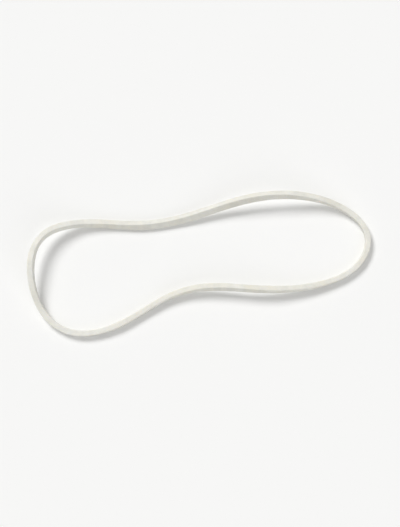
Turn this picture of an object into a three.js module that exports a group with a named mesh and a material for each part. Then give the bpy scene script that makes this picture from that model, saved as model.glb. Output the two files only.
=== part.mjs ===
// A rubber band, lying loose on a table. Millimetres, +Z up, resting on z = 0.
//
// A long rubber tube is sliced across into rings, so a band is one piece: two cut faces, one above
// and one below, and two skins, the tube's outside and its bore. It lies as a wavy, stretched loop
// that touches the table in three places, rises off it between them and leans over as it goes round.

import * as THREE from 'three';
import { LoftGeometry } from 'three/addons/geometries/LoftGeometry.js';

// The band's own sizes
const FLAT_LENGTH = 76.2; // pressed flat, from end to end
const CUT_WIDTH = 1.6; // how wide a slice of the tube is
const WALL = 1.1; // how thick the tube's wall is
const BORE_OFFSET = 0.05; // how far the bore is off the tube's centre, which makes one side thicker
const EDGE_RADIUS = 0.2; // softening of the four long edges

// Fineness of the faces
const STEPS_ROUND_LOOP = 240;
const ARC_DIVISIONS = 1; // for each edge, in half arcs

// How it lies, going round the loop clockwise from its left end. The band runs close inside these
// points. lift is a point's height over the table, and lean is how far the slice tips outwards.
const LIE = [
  { x: -34.5, y: -0.5, lift: 4.0, lean: 12 },
  { x: -32.0, y: 7.0, lift: 3.0, lean: 14 },
  { x: -22.5, y: 9.0, lift: 0.0, lean: 20 },
  { x: -12.0, y: 7.5, lift: 0.0, lean: 34 },
  { x: -2.0, y: 9.5, lift: 0.0, lean: 44 },
  { x: 7.5, y: 13.0, lift: 2.0, lean: 40 },
  { x: 18.0, y: 14.5, lift: 3.4, lean: 28 },
  { x: 29.0, y: 12.5, lift: 0.0, lean: 0 },
  { x: 35.5, y: 6.5, lift: 0.0, lean: 0 },
  { x: 32.5, y: -1.0, lift: 0.0, lean: 0 },
  { x: 24.0, y: -4.5, lift: 0.0, lean: 0 },
  { x: 13.0, y: -5.5, lift: 2.0, lean: -20 },
  { x: 2.0, y: -4.0, lift: 1.6, lean: -24 },
  { x: -7.0, y: -6.0, lift: 0.0, lean: 0 },
  { x: -15.5, y: -12.5, lift: 0.0, lean: 0 },
  { x: -25.5, y: -15.0, lift: 0.0, lean: 0 },
  { x: -32.5, y: -10.0, lift: 0.0, lean: 0 },
];

const UP = new THREE.Vector3(0, 0, 1);

// The weights of four neighbouring points, from the second to the third of them as share runs
// from 0 to 1. They are those of a cubic B-spline, whose bends ease into each other as rubber's do.
function easing(share) {
  const left = 1 - share;
  return [
    left ** 3 / 6,
    (3 * share ** 3 - 6 * share ** 2 + 4) / 6,
    (3 * left ** 3 - 6 * left ** 2 + 4) / 6,
    share ** 3 / 6,
  ];
}

// A value of LIE, eased between its points, at a turn from 0 to 1 round the loop.
function eased(key, turn) {
  const count = LIE.length;
  const along = turn * count;
  const point = Math.floor(along);
  return easing(along - point).reduce(
    (sum, weight, i) => sum + weight * LIE[(point + i) % count][key],
    0,
  );
}

// The line along the middle of the slice, without its height over the table.
class LooseLoop extends THREE.Curve {
  getPoint(turn, target = new THREE.Vector3()) {
    return target.set(eased('x', turn), eased('y', turn), eased('lift', turn));
  }
}

// The slice's outline: x runs from the bore to the outside, y from the lower cut to the upper.
function sliceOutline(wall) {
  const halfWall = wall / 2 - EDGE_RADIUS;
  const halfCut = CUT_WIDTH / 2 - EDGE_RADIUS;
  const quarter = Math.PI / 2;
  const outline = new THREE.Path();
  [[1, 1], [-1, 1], [-1, -1], [1, -1]].forEach(([side, level], i) => {
    const start = i * quarter;
    outline.absarc(side * halfWall, level * halfCut, EDGE_RADIUS, start, start + quarter);
  });
  return outline.getPoints(ARC_DIVISIONS);
}

// One slice of the band, tipped outwards by lean and standing on its lowest point at middle's height.
function sliceAt(middle, along, lean, wall) {
  const out = new THREE.Vector3().crossVectors(UP, along).normalize();
  const over = new THREE.Vector3().crossVectors(along, out);
  const corners = sliceOutline(wall).map((p) => p.rotateAround(new THREE.Vector2(), -lean));
  const foot = Math.min(...corners.map((p) => p.y));
  return corners.map((p) => middle.clone()
    .addScaledVector(out, p.x)
    .addScaledVector(over, p.y)
    .addScaledVector(UP, -foot));
}

// The whole band, drawn to size so that its middle line is twice as long as the band pressed flat.
function bandGeometry() {
  const loop = new LooseLoop();
  loop.arcLengthDivisions = STEPS_ROUND_LOOP * 8;
  const scale = 2 * FLAT_LENGTH / loop.getLength();
  const slices = [];
  for (let step = 0; step <= STEPS_ROUND_LOOP; step += 1) {
    const round = (step % STEPS_ROUND_LOOP) / STEPS_ROUND_LOOP;
    const turn = loop.getUtoTmapping(round);
    const middle = loop.getPoint(turn).multiplyScalar(scale);
    const lean = THREE.MathUtils.degToRad(eased('lean', turn));
    const wall = WALL + BORE_OFFSET * Math.cos(2 * Math.PI * round);
    slices.push(sliceAt(middle, loop.getTangent(turn), lean, wall));
  }
  return new LoftGeometry(slices, { closed: true });
}

// Puts the middle of a geometry's footprint over the origin, and its lowest point at z = 0.
function standAtOrigin(geometry) {
  geometry.computeBoundingBox();
  const centre = geometry.boundingBox.getCenter(new THREE.Vector3());
  return geometry.translate(-centre.x, -centre.y, -geometry.boundingBox.min.z);
}

const whiteRubber = new THREE.MeshStandardMaterial({
  color: 0xe2e0d6,
  roughness: 0.62,
  metalness: 0,
});

const rubberBand = new THREE.Mesh(standAtOrigin(bandGeometry()), whiteRubber);
rubberBand.name = 'rubber_band';

const part = new THREE.Group();
part.add(rubberBand);

export default part;
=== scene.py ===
import math

import bpy
from mathutils import Matrix, Vector


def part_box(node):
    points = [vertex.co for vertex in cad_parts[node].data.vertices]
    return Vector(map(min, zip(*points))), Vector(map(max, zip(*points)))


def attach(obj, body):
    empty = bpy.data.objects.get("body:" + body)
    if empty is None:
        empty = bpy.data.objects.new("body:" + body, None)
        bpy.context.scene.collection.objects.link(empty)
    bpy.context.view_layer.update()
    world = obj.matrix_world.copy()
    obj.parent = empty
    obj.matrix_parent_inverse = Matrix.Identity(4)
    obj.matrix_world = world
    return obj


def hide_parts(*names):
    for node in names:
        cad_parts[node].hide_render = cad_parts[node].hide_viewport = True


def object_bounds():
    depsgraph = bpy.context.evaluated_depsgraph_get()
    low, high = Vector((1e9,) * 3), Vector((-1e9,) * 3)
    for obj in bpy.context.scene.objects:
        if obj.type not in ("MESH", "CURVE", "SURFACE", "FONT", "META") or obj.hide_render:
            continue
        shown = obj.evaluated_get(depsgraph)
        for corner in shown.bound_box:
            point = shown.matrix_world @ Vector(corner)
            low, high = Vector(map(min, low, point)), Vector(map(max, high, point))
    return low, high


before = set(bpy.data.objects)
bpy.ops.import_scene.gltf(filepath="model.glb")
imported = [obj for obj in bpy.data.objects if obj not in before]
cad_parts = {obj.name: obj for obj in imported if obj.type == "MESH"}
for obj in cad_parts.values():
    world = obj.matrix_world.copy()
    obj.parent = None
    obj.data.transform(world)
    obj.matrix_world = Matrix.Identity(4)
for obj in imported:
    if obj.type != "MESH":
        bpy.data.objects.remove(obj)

CAD_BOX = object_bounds()

MM = 0.001

# The band's own sizes, as it was sliced from the tube
FLAT_LENGTH = 76.2 * MM
CUT_WIDTH = 1.6 * MM
WALL = 1.1 * MM
BORE_OFFSET = 0.05 * MM
EDGE_RADIUS = 0.2 * MM
TUBE_RADIUS = FLAT_LENGTH / math.pi

# How far the faces are from true: slow swells, the knife's lines on the cuts and the mould's on the skins
SWELL = 0.16 * MM
SWELL_LENGTH = 5.0 * MM
KNIFE_LINES = 0.14 * MM
KNIFE_LINES_APART = 0.5 * MM
MOULD_LINES = 0.1 * MM
MOULD_LINES_APART = 0.7 * MM

# How many times longer than wide the lines are: a knife's along its stroke, a mould's along the tube
EVEN_ALL_WAYS = (1.0, 1.0, 1.0)
KNIFE_STROKE = (14.0, 1.0, 1.0)
ACROSS_BAND = (1.0, 1.0, 12.0)

# The lie, clockwise from the left end: pull points at x, y and lift in mm, and lean outwards in degrees
LIE = (
    (-34.5, -0.5, 4.0, 12), (-32.0, 7.0, 3.0, 14), (-22.5, 9.0, 0.0, 20),
    (-12.0, 7.5, 0.0, 34), (-2.0, 9.5, 0.0, 44), (7.5, 13.0, 2.0, 40),
    (18.0, 14.5, 3.4, 28), (29.0, 12.5, 0.0, 0), (35.5, 6.5, 0.0, 0),
    (32.5, -1.0, 0.0, 0), (24.0, -4.5, 0.0, 0), (13.0, -5.5, 2.0, -20),
    (2.0, -4.0, 1.6, -24), (-7.0, -6.0, 0.0, 0), (-15.5, -12.5, 0.0, 0),
    (-25.5, -15.0, 0.0, 0), (-32.5, -10.0, 0.0, 0),
)

# Fineness of the curve and of the swept mesh
CURVE_STEPS_A_POINT = 64
STEPS_ROUND_LOOP = 1700
CUTS_PER_SIDE = 12
POINTS_ROUND_SLICE = 4 * (CUTS_PER_SIDE + 1)

# The flat map: the strand opened out in rows, one above another, each with a clear strip round it
MAP_NAME = "OFBake"
MAP_ROWS = 6
MAP_CLEAR = 0.004

# Colours as they look in daylight, from 0 to 255
IVORY = (235, 234, 226)
# Yellowed ivory for aged patches; the same colour is painted into the pits as painted shade
OLD_IVORY_AND_PIT_SHADE = (229, 225, 211)
GREY_IVORY = (221, 220, 212)
# Lighter along the soft edges: partly wear, and partly a painted highlight
EDGE_HIGHLIGHT_AND_WEAR = (240, 239, 232)
TALC = (244, 243, 239)
MOTE = (120, 112, 96)
FLOOR = (250, 250, 249)
BACKDROP = (247, 247, 246)

# Soft patches: their size, a shift that sets each kind apart, and the noise where they start and are full
AGED_PATCHES = {"Size": 7 * MM, "Shift": 3.7, "Least": 0.35, "Most": 0.7}
DUSTY_PATCHES = {"Size": 3 * MM, "Shift": 17.3, "Least": 0.4, "Most": 0.65}
POWDER = {"Size": 0.08 * MM, "Shift": 23.9, "Least": 0.45, "Most": 0.6}

# Drawn-out lines: grey stripes in the rubber, and the fine marks of the knife and the mould
GREY_STRIPES = {"Drawn Out": ACROSS_BAND, "Spacing": 1.5 * MM, "Detail": 4.0}
GREY_STRIPES_SHOW = (0.42, 0.66)
KNIFE_MARKS = {"Drawn Out": KNIFE_STROKE, "Spacing": 0.14 * MM}
MOULD_MARKS = {"Drawn Out": ACROSS_BAND, "Spacing": 0.2 * MM}

# Separate dots: how far apart, their radius as a share of that, and the share of places that have one
MOTES = {"Apart": 1.9 * MM, "Radius": 0.06, "Share Kept": 0.14}
PITS = {"Apart": 0.4 * MM, "Radius": 0.2, "Share Kept": 0.25}

# The share of a dot's radius within which it is at its fullest
DOT_CORE = 0.4

# How much of its shade each kind of mark gives the rubber, where it is at its fullest. The edge's lighter
# shade is partly wear and partly a painted highlight, and the pits' darker one is painted shade
AGED_TINT = 0.7
STRIPE_TINT = 0.55
DUST_TINT = 0.6
# The soft edge's lighter shade: partly wear, and partly a painted highlight
EDGE_HIGHLIGHT_AND_WEAR_TINT = 0.4
# Painted shade in the pits
PIT_PAINTED_SHADE = 0.4
MOTE_TINT = 0.6

# The gloss: moulded skins are a little smoother than cuts, and dust is dull
SKIN_ROUGHNESS = 0.46
CUT_ROUGHER = 0.14
DUST_ROUGHER = 0.2

# Fine relief: its full depth, and the share of it that each kind adds to the knife's and mould's marks
RELIEF_DEPTH = 0.04 * MM
GRAIN_SIZE = 0.12 * MM
GRAIN_SHARE = 0.3
POWDER_SHARE = 0.15
PIT_SHARE = -0.5

# Milkiness: how much of the light sinks in, how far, and how far by colour; and how strongly it shines
MILKINESS = 0.2
MILKY_DEPTH = 0.4 * MM
MILKY_COLOURS = (1.0, 0.9, 0.7)
SHINE = 0.45

# The light: an even sky and soft boxes, which together show a level colour about as it is written
SKY_STRENGTH = 0.38
SOFT_BOXES = (
    # name, azimuth, elevation and width in degrees, strength
    ("key_light", 128, 50, 22, 1.95),
    ("fill_light", 300, 38, 50, 0.6),
)

# The floor, in metres each way from the band, and how dull it is
FLOOR_REACH = 30.0
FLOOR_ROUGHNESS = 0.9

# The camera: lens and sensor in mm, how high it looks from, and how much of the frame's width the band fills
LENS = 100
SENSOR = 36
FRAME_WIDE, FRAME_HIGH = 400, 527
LOOKS_FROM = 84
BAND_FILLS = 0.86


def linear(colour):
    """A colour of 0 to 255 as the numbers that shaders work in."""
    parts = []
    for channel in colour:
        share = channel / 255
        parts.append(share / 12.92 if share <= 0.04045 else ((share + 0.055) / 1.055) ** 2.4)
    return (*parts, 1.0)


def node(tree, kind, inputs=None, **settings):
    """Adds a node, sets it, and joins or fills its inputs by name or number."""
    made = tree.nodes.new(kind)
    for name, value in settings.items():
        setattr(made, name, value)
    for key, value in (inputs or {}).items():
        if isinstance(value, bpy.types.NodeSocket):
            tree.links.new(value, made.inputs[key])
        else:
            made.inputs[key].default_value = value
    return made


def maths(tree, operation, *values):
    """The result of a Math node on sockets and numbers."""
    return node(tree, "ShaderNodeMath", dict(enumerate(values)), operation=operation).outputs[0]


def vectors(tree, operation, first, second=None, scale=None):
    """The result of a Vector Math node."""
    inputs = {0: first}
    if second is not None:
        inputs[1] = second
    if scale is not None:
        inputs["Scale"] = scale
    return node(tree, "ShaderNodeVectorMath", inputs, operation=operation).outputs["Vector"]


def new_tree(name, kind, inputs, outputs):
    """A node group with named sockets, and the nodes that stand for its two ends."""
    tree = bpy.data.node_groups.new(name, kind)
    for side, sockets in (("INPUT", inputs), ("OUTPUT", outputs)):
        for title, socket_kind, value in sockets:
            socket = tree.interface.new_socket(title, in_out=side, socket_type=socket_kind)
            if value is not None:
                socket.default_value = value
    return tree, tree.nodes.new("NodeGroupInput").outputs, tree.nodes.new("NodeGroupOutput").inputs


def captured(tree, geometry, **fields):
    """The geometry with each field's value kept on its points, and those kept values."""
    keep = node(tree, "GeometryNodeCaptureAttribute", {"Geometry": geometry}, domain="POINT")
    kept = {}
    for name, field in fields.items():
        kind = "VECTOR" if field.type == "VECTOR" else "FLOAT"
        keep.capture_items.new(kind, name)
        tree.links.new(field, keep.inputs[name])
        kept[name] = keep.outputs[name]
    return keep.outputs["Geometry"], kept


def stored(tree, geometry, name, field, kind):
    """The geometry with a field stored under a name that materials can read."""
    keep = node(
        tree,
        "GeometryNodeStoreNamedAttribute",
        {"Geometry": geometry, "Name": name, "Value": field},
        data_type=kind,
        domain="POINT",
    )
    return keep.outputs["Geometry"]


def stand_on_lowest_edge(tree, line, sizes, wall_here):
    """Lifts the middle line so that the slice, leaning as the line's tilt says, stands on z = lift."""
    tilt = node(tree, "GeometryNodeInputCurveTilt").outputs["Tilt"]
    radius = sizes["Edge Radius"]
    upright = maths(tree, "ABSOLUTE", maths(tree, "COSINE", tilt))
    lying = maths(tree, "ABSOLUTE", maths(tree, "SINE", tilt))
    half_cut = maths(tree, "SUBTRACT", maths(tree, "MULTIPLY", sizes["Cut Width"], 0.5), radius)
    half_wall = maths(tree, "SUBTRACT", maths(tree, "MULTIPLY", wall_here, 0.5), radius)
    foot = maths(tree, "MULTIPLY_ADD", half_cut, upright, radius)
    foot = maths(tree, "MULTIPLY_ADD", half_wall, lying, foot)
    upwards = node(tree, "ShaderNodeCombineXYZ", {"Z": foot}).outputs["Vector"]
    moved = node(tree, "GeometryNodeSetPosition", {"Geometry": line, "Offset": upwards})
    return moved.outputs["Geometry"]


def soft_edged_slice(tree, sizes):
    """The slice's outline, with x towards the bore and y downwards, and which way each point faces."""
    radius = sizes["Edge Radius"]
    core_width = maths(tree, "MULTIPLY_ADD", radius, -2.0, sizes["Wall"])
    core_height = maths(tree, "MULTIPLY_ADD", radius, -2.0, sizes["Cut Width"])
    core = node(
        tree,
        "GeometryNodeCurvePrimitiveQuadrilateral",
        {"Width": core_width, "Height": core_height},
    ).outputs["Curve"]
    outline = node(
        tree, "GeometryNodeSubdivideCurve", {"Curve": core, "Cuts": sizes["Cuts Per Side"]}
    ).outputs["Curve"]
    place = node(tree, "GeometryNodeInputPosition").outputs["Position"]
    half_width = maths(tree, "MULTIPLY", core_width, 0.5)
    half_height = maths(tree, "MULTIPLY", core_height, 0.5)
    half_core = node(
        tree, "ShaderNodeCombineXYZ", {"X": half_width, "Y": half_height, "Z": 1.0}
    ).outputs["Vector"]
    share = vectors(tree, "DIVIDE", place, half_core)
    # Sines bunch the points up at the corners, and powers turn the outline only there
    eased = vectors(tree, "SINE", vectors(tree, "SCALE", share, scale=math.pi / 2))
    bunched = vectors(tree, "SINE", vectors(tree, "SCALE", eased, scale=math.pi / 2))
    facing = eased
    for _ in range(2):
        facing = vectors(tree, "MULTIPLY", facing, vectors(tree, "ABSOLUTE", facing))
    facing = vectors(tree, "NORMALIZE", facing)
    core_point = vectors(tree, "MULTIPLY", bunched, half_core)
    rim = vectors(tree, "ADD", core_point, vectors(tree, "SCALE", facing, scale=radius))
    outline, kept = captured(tree, outline, bunched=bunched, facing=facing, rim=rim)
    outline = node(
        tree, "GeometryNodeSetPosition", {"Geometry": outline, "Position": kept["rim"]}
    ).outputs["Geometry"]
    return outline, kept


def unevenness(tree, place, drawn_out, apart, depth):
    """How far a face stands out here: a noise of the given depth, drawn out along one or more axes."""
    noise = node(
        tree,
        "ShaderNodeTexNoise",
        {
            "Vector": vectors(tree, "DIVIDE", place, drawn_out),
            "Scale": maths(tree, "DIVIDE", 1.0, apart),
            "Detail": 2.0,
        },
    ).outputs["Fac"]
    return maths(tree, "MULTIPLY", maths(tree, "SUBTRACT", noise, 0.5), depth)


def standing_line(tree, sizes):
    """The middle line in even steps, stood on the surface, and what is kept for each place along it."""
    line = node(
        tree,
        "GeometryNodeResampleCurve",
        {"Curve": sizes["Geometry"], "Count": sizes["Steps Round Loop"]},
        mode="COUNT",
    ).outputs["Curve"]
    line = node(tree, "GeometryNodeSetCurveNormal", {"Curve": line}, mode="Z_UP").outputs["Curve"]
    round_loop = node(tree, "GeometryNodeSplineParameter").outputs["Factor"]
    angle = maths(tree, "MULTIPLY", round_loop, 2 * math.pi)
    extra = maths(tree, "MULTIPLY", maths(tree, "COSINE", angle), sizes["Bore Offset"])
    wall_here = maths(tree, "ADD", extra, sizes["Wall"])
    line, on_line = captured(tree, line, angle=angle, extra=extra, wall_here=wall_here)
    line = stand_on_lowest_edge(tree, line, sizes, on_line["wall_here"])
    to_bore = node(tree, "GeometryNodeInputNormal").outputs["Normal"]
    line, on_stood = captured(tree, line, to_bore=to_bore)
    return line, {**on_line, **on_stood}


def swept_strand(tree, line, on_line, outline, on_slice):
    """The slice swept along the line, with more wall where the bore is off the middle."""
    strand = node(
        tree, "GeometryNodeCurveToMesh", {"Curve": line, "Profile Curve": outline}
    ).outputs["Mesh"]
    across = node(tree, "ShaderNodeSeparateXYZ", {0: on_slice["bunched"]}).outputs["X"]
    thicker = maths(tree, "MULTIPLY", maths(tree, "MULTIPLY", across, 0.5), on_line["extra"])
    to_wall = vectors(tree, "SCALE", on_line["to_bore"], scale=thicker)
    moved = node(tree, "GeometryNodeSetPosition", {"Geometry": strand, "Offset": to_wall})
    return moved.outputs["Geometry"]


def place_in_tube(tree, sizes, on_line, on_slice):
    """Where a point was in the tube before the band was sliced off it, from the middle of the slice."""
    rim = node(tree, "ShaderNodeSeparateXYZ", {0: on_slice["rim"]}).outputs
    from_axis = maths(tree, "SUBTRACT", sizes["Tube Radius"], rim["X"])
    return node(
        tree,
        "ShaderNodeCombineXYZ",
        {
            "X": maths(tree, "MULTIPLY", from_axis, maths(tree, "COSINE", on_line["angle"])),
            "Y": maths(tree, "MULTIPLY", from_axis, maths(tree, "SINE", on_line["angle"])),
            "Z": maths(tree, "MULTIPLY", rim["Y"], -1.0),
        },
    ).outputs["Vector"]


def left_uneven(tree, sizes, strand, in_tube, facing):
    """The strand with its slow swells, the knife's lines on its cuts and the mould's on its skins."""
    cut = maths(tree, "MULTIPLY", facing, facing)
    skin = maths(tree, "SUBTRACT", 1.0, cut)
    swell = unevenness(tree, in_tube, EVEN_ALL_WAYS, sizes["Swell Length"], sizes["Swell"])
    knife = unevenness(tree, in_tube, KNIFE_STROKE, sizes["Knife Lines Apart"], sizes["Knife Lines"])
    mould = unevenness(tree, in_tube, ACROSS_BAND, sizes["Mould Lines Apart"], sizes["Mould Lines"])
    raised = maths(tree, "MULTIPLY_ADD", knife, cut, swell)
    raised = maths(tree, "MULTIPLY_ADD", mould, skin, raised)
    outwards = node(tree, "GeometryNodeInputNormal").outputs["Normal"]
    offset = vectors(tree, "SCALE", outwards, scale=raised)
    moved = node(tree, "GeometryNodeSetPosition", {"Geometry": strand, "Offset": offset})
    return moved.outputs["Geometry"]


def sliced_strand_tree():
    """Geometry Nodes that sweep the slice round a closed line and leave it a little uneven."""
    tree, sizes, result = new_tree(
        "sliced strand",
        "GeometryNodeTree",
        (
            ("Geometry", "NodeSocketGeometry", None),
            ("Steps Round Loop", "NodeSocketInt", STEPS_ROUND_LOOP),
            ("Cuts Per Side", "NodeSocketInt", CUTS_PER_SIDE),
            ("Cut Width", "NodeSocketFloat", CUT_WIDTH),
            ("Wall", "NodeSocketFloat", WALL),
            ("Bore Offset", "NodeSocketFloat", BORE_OFFSET),
            ("Edge Radius", "NodeSocketFloat", EDGE_RADIUS),
            ("Tube Radius", "NodeSocketFloat", TUBE_RADIUS),
            ("Swell", "NodeSocketFloat", SWELL),
            ("Swell Length", "NodeSocketFloat", SWELL_LENGTH),
            ("Knife Lines", "NodeSocketFloat", KNIFE_LINES),
            ("Knife Lines Apart", "NodeSocketFloat", KNIFE_LINES_APART),
            ("Mould Lines", "NodeSocketFloat", MOULD_LINES),
            ("Mould Lines Apart", "NodeSocketFloat", MOULD_LINES_APART),
            ("Rubber", "NodeSocketMaterial", None),
        ),
        (("Geometry", "NodeSocketGeometry", None),),
    )
    line, on_line = standing_line(tree, sizes)
    outline, on_slice = soft_edged_slice(tree, sizes)
    strand = swept_strand(tree, line, on_line, outline, on_slice)
    in_tube = place_in_tube(tree, sizes, on_line, on_slice)
    facing = node(tree, "ShaderNodeSeparateXYZ", {0: on_slice["facing"]}).outputs["Y"]
    strand = stored(tree, strand, "in_tube", in_tube, "FLOAT_VECTOR")
    strand = stored(tree, strand, "cut_facing", maths(tree, "MULTIPLY", facing, -1.0), "FLOAT")
    strand = left_uneven(tree, sizes, strand, in_tube, facing)
    strand = node(tree, "GeometryNodeSetShadeSmooth", {"Geometry": strand}).outputs["Geometry"]
    whole = node(tree, "GeometryNodeRealizeInstances", {"Geometry": strand}).outputs["Geometry"]
    painted = node(
        tree, "GeometryNodeSetMaterial", {"Geometry": whole, "Material": sizes["Rubber"]}
    ).outputs["Geometry"]
    tree.links.new(painted, result["Geometry"])
    return tree


def laid_line():
    """The band's middle line as it lies: a closed curve, twice as long as the flat band, with its lean."""
    data = bpy.data.curves.new("laid_line", "CURVE")
    data.dimensions = "3D"
    spline = data.splines.new("NURBS")
    spline.points.add(len(LIE) - 1)
    for point, (x, y, lift, lean) in zip(spline.points, LIE):
        point.co = (x * MM, y * MM, lift * MM, 1.0)
        point.tilt = -math.radians(lean)
    spline.order_u = 4
    spline.use_cyclic_u = True
    spline.resolution_u = CURVE_STEPS_A_POINT
    data.transform(Matrix.Scale(2 * FLAT_LENGTH / spline.calc_length(), 4))
    return data


def plain_mesh(source, name, tree, inputs):
    """A new object with the mesh that a Geometry Nodes tree makes on a source object."""
    modifier = source.modifiers.new("sweep", "NODES")
    modifier.node_group = tree
    identifiers = {
        item.name: item.identifier
        for item in tree.interface.items_tree
        if item.item_type == "SOCKET" and item.in_out == "INPUT"
    }
    for title, value in inputs.items():
        modifier[identifiers[title]] = value
    depsgraph = bpy.context.evaluated_depsgraph_get()
    mesh = bpy.data.meshes.new_from_object(
        source.evaluated_get(depsgraph), preserve_all_data_layers=True, depsgraph=depsgraph
    )
    source.modifiers.remove(modifier)
    mesh.name = name
    made = bpy.data.objects.new(name, mesh)
    bpy.context.scene.collection.objects.link(made)
    return made


def past_the_join(numbers, whole):
    """A face's place numbers round a ring, with 0 read as the far end where the face spans the join."""
    return [n or whole for n in numbers] if max(numbers) - min(numbers) > 1 else numbers


def add_flat_map(piece):
    """Gives a swept strand its flat map: cut across into rows, and each row slit along and opened out."""
    mesh = piece.data
    steps = len(mesh.vertices) // POINTS_ROUND_SLICE
    steps_a_row = math.ceil(steps / MAP_ROWS)
    ring = [mesh.vertices[i].co for i in range(POINTS_ROUND_SLICE)]
    reached = [0.0]
    for here, there in zip(ring, ring[1:] + ring[:1]):
        reached.append(reached[-1] + (there - here).length)
    wide, high = 1 - 2 * MAP_CLEAR, 1 / MAP_ROWS - 2 * MAP_CLEAR
    flat = mesh.uv_layers.new(name=MAP_NAME).uv
    for face in mesh.polygons:
        along = past_the_join([v // POINTS_ROUND_SLICE for v in face.vertices], steps)
        across = past_the_join([v % POINTS_ROUND_SLICE for v in face.vertices], POINTS_ROUND_SLICE)
        row = min(along) // steps_a_row
        for corner, step, point in zip(face.loop_indices, along, across):
            right = MAP_CLEAR + wide * (step / steps_a_row - row)
            up = row / MAP_ROWS + MAP_CLEAR + high * (1 - reached[point] / reached[-1])
            flat[corner].vector = (right, up)


def corners(points):
    """The lowest and highest corner of some points."""
    lowest = Vector([min(p[i] for p in points) for i in range(3)])
    highest = Vector([max(p[i] for p in points) for i in range(3)])
    return lowest, highest


def set_in_place(piece, node_name):
    """Puts a mesh's footprint and underside where the CAD node's are."""
    lowest, highest = corners([v.co for v in piece.data.vertices])
    wanted_low, wanted_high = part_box(node_name)
    middle = (wanted_low + wanted_high - lowest - highest) / 2
    piece.data.transform(Matrix.Translation((middle.x, middle.y, wanted_low.z - lowest.z)))


def smooth_step(tree, value, start, full):
    """A mask that goes smoothly from 0 to 1 as a value goes from start to full."""
    return node(
        tree,
        "ShaderNodeMapRange",
        {"Value": value, "From Min": start, "From Max": full},
        interpolation_type="SMOOTHSTEP",
    ).outputs["Result"]


def streaks_group():
    """Fine lines drawn out along one way, from 0 to 1, as a mould or a knife leaves them."""
    tree, given, result = new_tree(
        "streaks",
        "ShaderNodeTree",
        (
            ("Place", "NodeSocketVector", None),
            ("Drawn Out", "NodeSocketVector", ACROSS_BAND),
            ("Spacing", "NodeSocketFloat", 0.3 * MM),
            ("Detail", "NodeSocketFloat", 3.0),
        ),
        (("Height", "NodeSocketFloat", None),),
    )
    noise = node(
        tree,
        "ShaderNodeTexNoise",
        {
            "Vector": vectors(tree, "DIVIDE", given["Place"], given["Drawn Out"]),
            "Scale": maths(tree, "DIVIDE", 1.0, given["Spacing"]),
            "Detail": given["Detail"],
        },
    )
    tree.links.new(noise.outputs["Fac"], result["Height"])
    return tree


def blotches_group():
    """Soft patches of one size, from 0 to 1."""
    tree, given, result = new_tree(
        "blotches",
        "ShaderNodeTree",
        (
            ("Place", "NodeSocketVector", None),
            ("Size", "NodeSocketFloat", 4.0 * MM),
            ("Shift", "NodeSocketFloat", 0.0),
            ("Least", "NodeSocketFloat", 0.4),
            ("Most", "NodeSocketFloat", 0.6),
        ),
        (("Mask", "NodeSocketFloat", None),),
    )
    sized = vectors(tree, "SCALE", given["Place"], scale=maths(tree, "DIVIDE", 1.0, given["Size"]))
    shifted = vectors(tree, "ADD", sized, given["Shift"])
    noise = node(
        tree,
        "ShaderNodeTexNoise",
        {"Vector": shifted, "Scale": 1.0, "Detail": 4.0, "Roughness": 0.55},
    ).outputs["Fac"]
    tree.links.new(smooth_step(tree, noise, given["Least"], given["Most"]), result["Mask"])
    return tree


def flecks_group():
    """Small separate dots, of which only a share is kept."""
    tree, given, result = new_tree(
        "flecks",
        "ShaderNodeTree",
        (
            ("Place", "NodeSocketVector", None),
            ("Apart", "NodeSocketFloat", 1.0 * MM),
            ("Radius", "NodeSocketFloat", 0.15),
            ("Share Kept", "NodeSocketFloat", 0.2),
        ),
        (("Mask", "NodeSocketFloat", None),),
    )
    cells = node(
        tree,
        "ShaderNodeTexVoronoi",
        {"Vector": given["Place"], "Scale": maths(tree, "DIVIDE", 1.0, given["Apart"])},
    )
    core = maths(tree, "MULTIPLY", given["Radius"], DOT_CORE)
    near = smooth_step(tree, cells.outputs["Distance"], given["Radius"], core)
    chance = node(tree, "ShaderNodeSeparateColor", {"Color": cells.outputs["Color"]}).outputs["Red"]
    kept = maths(tree, "LESS_THAN", chance, given["Share Kept"])
    tree.links.new(maths(tree, "MULTIPLY", near, kept), result["Mask"])
    return tree


def placed(tree, group, place, values):
    """One use of a node group at a place on the band, with its own values."""
    return node(tree, "ShaderNodeGroup", {"Place": place, **values}, node_tree=group).outputs[0]


def mixed(tree, mask, first, second):
    """A colour that goes from the first to the second as the mask goes from 0 to 1."""
    made = node(tree, "ShaderNodeMix", {"Factor": mask}, data_type="RGBA")
    for key, value in (("A", first), ("B", second)):
        socket = next(s for s in made.inputs if s.name == key and s.type == "RGBA")
        if isinstance(value, bpy.types.NodeSocket):
            tree.links.new(value, socket)
        else:
            socket.default_value = linear(value)
    return next(s for s in made.outputs if s.type == "RGBA")


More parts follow.
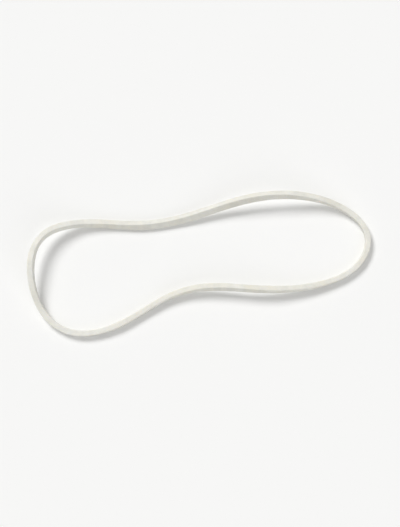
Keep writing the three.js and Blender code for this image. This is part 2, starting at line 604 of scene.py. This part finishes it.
def rubber_finish():
    """Off-white rubber: smooth moulded skins, knife-cut faces, a little talc and a few motes, a painted
    highlight with some wear along the edges, and painted shade in the pits.
    """
    material = bpy.data.materials.new("white_rubber")
    material.use_nodes = True
    tree = material.node_tree
    shader = tree.nodes["Principled BSDF"]
    place = node(tree, "ShaderNodeAttribute", attribute_name="in_tube").outputs["Vector"]
    facing = node(tree, "ShaderNodeAttribute", attribute_name="cut_facing").outputs["Fac"]
    cut = maths(tree, "MULTIPLY", facing, facing)
    skin = maths(tree, "SUBTRACT", 1.0, cut)
    # Cut times skin is at most a quarter, halfway round the soft edge, where the rubber is painted lighter:
    # partly wear, and partly a painted highlight where the edge catches the light
    edge_highlight_and_wear = maths(tree, "MULTIPLY", maths(tree, "MULTIPLY", cut, skin), 4.0)

    streaks, blotches, flecks = streaks_group(), blotches_group(), flecks_group()
    aged = placed(tree, blotches, place, AGED_PATCHES)
    striped = smooth_step(tree, placed(tree, streaks, place, GREY_STRIPES), *GREY_STRIPES_SHOW)
    powder = placed(tree, blotches, place, POWDER)
    dust = maths(tree, "MULTIPLY", placed(tree, blotches, place, DUSTY_PATCHES), powder)
    motes = placed(tree, flecks, place, MOTES)
    pits = placed(tree, flecks, place, PITS)

    colour = IVORY
    for mask, strength, shade in (
        (aged, AGED_TINT, OLD_IVORY_AND_PIT_SHADE),
        (striped, STRIPE_TINT, GREY_IVORY),
        (dust, DUST_TINT, TALC),
        # A painted highlight, with some wear, along the soft edge
        (edge_highlight_and_wear, EDGE_HIGHLIGHT_AND_WEAR_TINT, EDGE_HIGHLIGHT_AND_WEAR),
        # Painted shade in the pits
        (pits, PIT_PAINTED_SHADE, OLD_IVORY_AND_PIT_SHADE),
        (motes, MOTE_TINT, MOTE),
    ):
        colour = mixed(tree, maths(tree, "MULTIPLY", mask, strength), colour, shade)
    tree.links.new(colour, shader.inputs["Base Color"])

    roughness = maths(tree, "MULTIPLY_ADD", cut, CUT_ROUGHER, SKIN_ROUGHNESS)
    roughness = maths(tree, "MULTIPLY_ADD", dust, DUST_ROUGHER, roughness)
    tree.links.new(roughness, shader.inputs["Roughness"])

    knife = placed(tree, streaks, place, KNIFE_MARKS)
    mould = placed(tree, streaks, place, MOULD_MARKS)
    grain = node(
        tree, "ShaderNodeTexNoise", {"Vector": place, "Scale": 1 / GRAIN_SIZE, "Detail": 2.0}
    ).outputs["Fac"]
    height = maths(tree, "MULTIPLY_ADD", knife, cut, maths(tree, "MULTIPLY", mould, skin))
    for relief, share in ((grain, GRAIN_SHARE), (powder, POWDER_SHARE), (pits, PIT_SHARE)):
        height = maths(tree, "MULTIPLY_ADD", relief, share, height)
    bump = node(tree, "ShaderNodeBump", {"Height": height, "Strength": 1.0, "Distance": RELIEF_DEPTH})
    tree.links.new(bump.outputs["Normal"], shader.inputs["Normal"])

    shader.inputs["Subsurface Weight"].default_value = MILKINESS
    shader.inputs["Subsurface Radius"].default_value = MILKY_COLOURS
    shader.inputs["Subsurface Scale"].default_value = MILKY_DEPTH
    shader.inputs["Specular IOR Level"].default_value = SHINE
    return material


def rubber_band():
    """The band's visible mesh, which stands for the CAD node."""
    line = bpy.data.objects.new("laid_line", laid_line())
    bpy.context.scene.collection.objects.link(line)
    band = plain_mesh(line, "band", sliced_strand_tree(), {"Rubber": rubber_finish()})
    bpy.data.objects.remove(line)
    add_flat_map(band)
    set_in_place(band, "rubber_band")
    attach(band, "root")
    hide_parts("rubber_band")
    return band


def pale_floor():
    """A plain pale floor that runs out to where the sky begins."""
    mesh = bpy.data.meshes.new("floor")
    ways = ((-1, -1), (1, -1), (1, 1), (-1, 1))
    mesh.from_pydata([(x * FLOOR_REACH, y * FLOOR_REACH, 0) for x, y in ways], [], [(0, 1, 2, 3)])
    floor = bpy.data.objects.new("floor", mesh)
    bpy.context.scene.collection.objects.link(floor)
    material = bpy.data.materials.new("pale_floor")
    material.use_nodes = True
    shader = material.node_tree.nodes["Principled BSDF"]
    shader.inputs["Base Color"].default_value = linear(FLOOR)
    shader.inputs["Roughness"].default_value = FLOOR_ROUGHNESS
    shader.inputs["Specular IOR Level"].default_value = 0.0
    mesh.materials.append(material)


def sky():
    """Even white light all round, which shows as the floor's own colour where the camera sees it."""
    world = bpy.data.worlds.new("sky")
    world.use_nodes = True
    tree = world.node_tree
    tree.nodes.clear()
    path = node(tree, "ShaderNodeLightPath").outputs
    shown = maths(tree, "ADD", path["Is Camera Ray"], path["Is Glossy Ray"])
    shown = maths(tree, "ADD", shown, path["Is Transmission Ray"])
    light = node(tree, "ShaderNodeBackground", {"Color": (1, 1, 1, 1), "Strength": SKY_STRENGTH})
    backdrop = node(tree, "ShaderNodeBackground", {"Color": linear(BACKDROP), "Strength": 1.0})
    both = node(
        tree,
        "ShaderNodeMixShader",
        {"Fac": shown, 1: light.outputs["Background"], 2: backdrop.outputs["Background"]},
    )
    node(tree, "ShaderNodeOutputWorld", {"Surface": both.outputs["Shader"]})
    bpy.context.scene.world = world


def soft_box(name, azimuth, elevation, width, strength):
    """A wide soft light, far off so that it lights the floor evenly. Angles are in degrees."""
    data = bpy.data.lights.new(name, "SUN")
    data.angle = math.radians(width)
    data.energy = strength
    light = bpy.data.objects.new(name, data)
    turn, height = math.radians(azimuth), math.radians(elevation)
    level = math.cos(height)
    towards = Vector((math.cos(turn) * level, math.sin(turn) * level, math.sin(height)))
    light.rotation_mode = "QUATERNION"
    light.rotation_quaternion = (-towards).to_track_quat("-Z", "Y")
    bpy.context.scene.collection.objects.link(light)


def camera():
    """Looks down on the band, as the photograph looks square at it, with the loop across the frame."""
    data = bpy.data.cameras.new("camera")
    data.lens = LENS
    data.sensor_width = SENSOR
    seen = bpy.data.objects.new("camera", data)
    low, high = CAD_BOX
    middle = (low + high) / 2
    across = (high.x - low.x) / BAND_FILLS
    half_angle = math.atan(SENSOR / 2 / LENS * FRAME_WIDE / FRAME_HIGH)
    away = across / 2 / math.tan(half_angle)
    elevation = math.radians(LOOKS_FROM)
    back = Vector((0, -math.cos(elevation), math.sin(elevation)))
    seen.location = middle + back * away
    seen.rotation_mode = "QUATERNION"
    seen.rotation_quaternion = (-back).to_track_quat("-Z", "Y")
    data.clip_start = away * 0.01
    data.clip_end = away * 100
    bpy.context.scene.collection.objects.link(seen)
    bpy.context.scene.camera = seen


camera()
rubber_band()
pale_floor()
sky()
for values in SOFT_BOXES:
    soft_box(*values)
bpy.context.scene.view_settings.view_transform = "Standard"
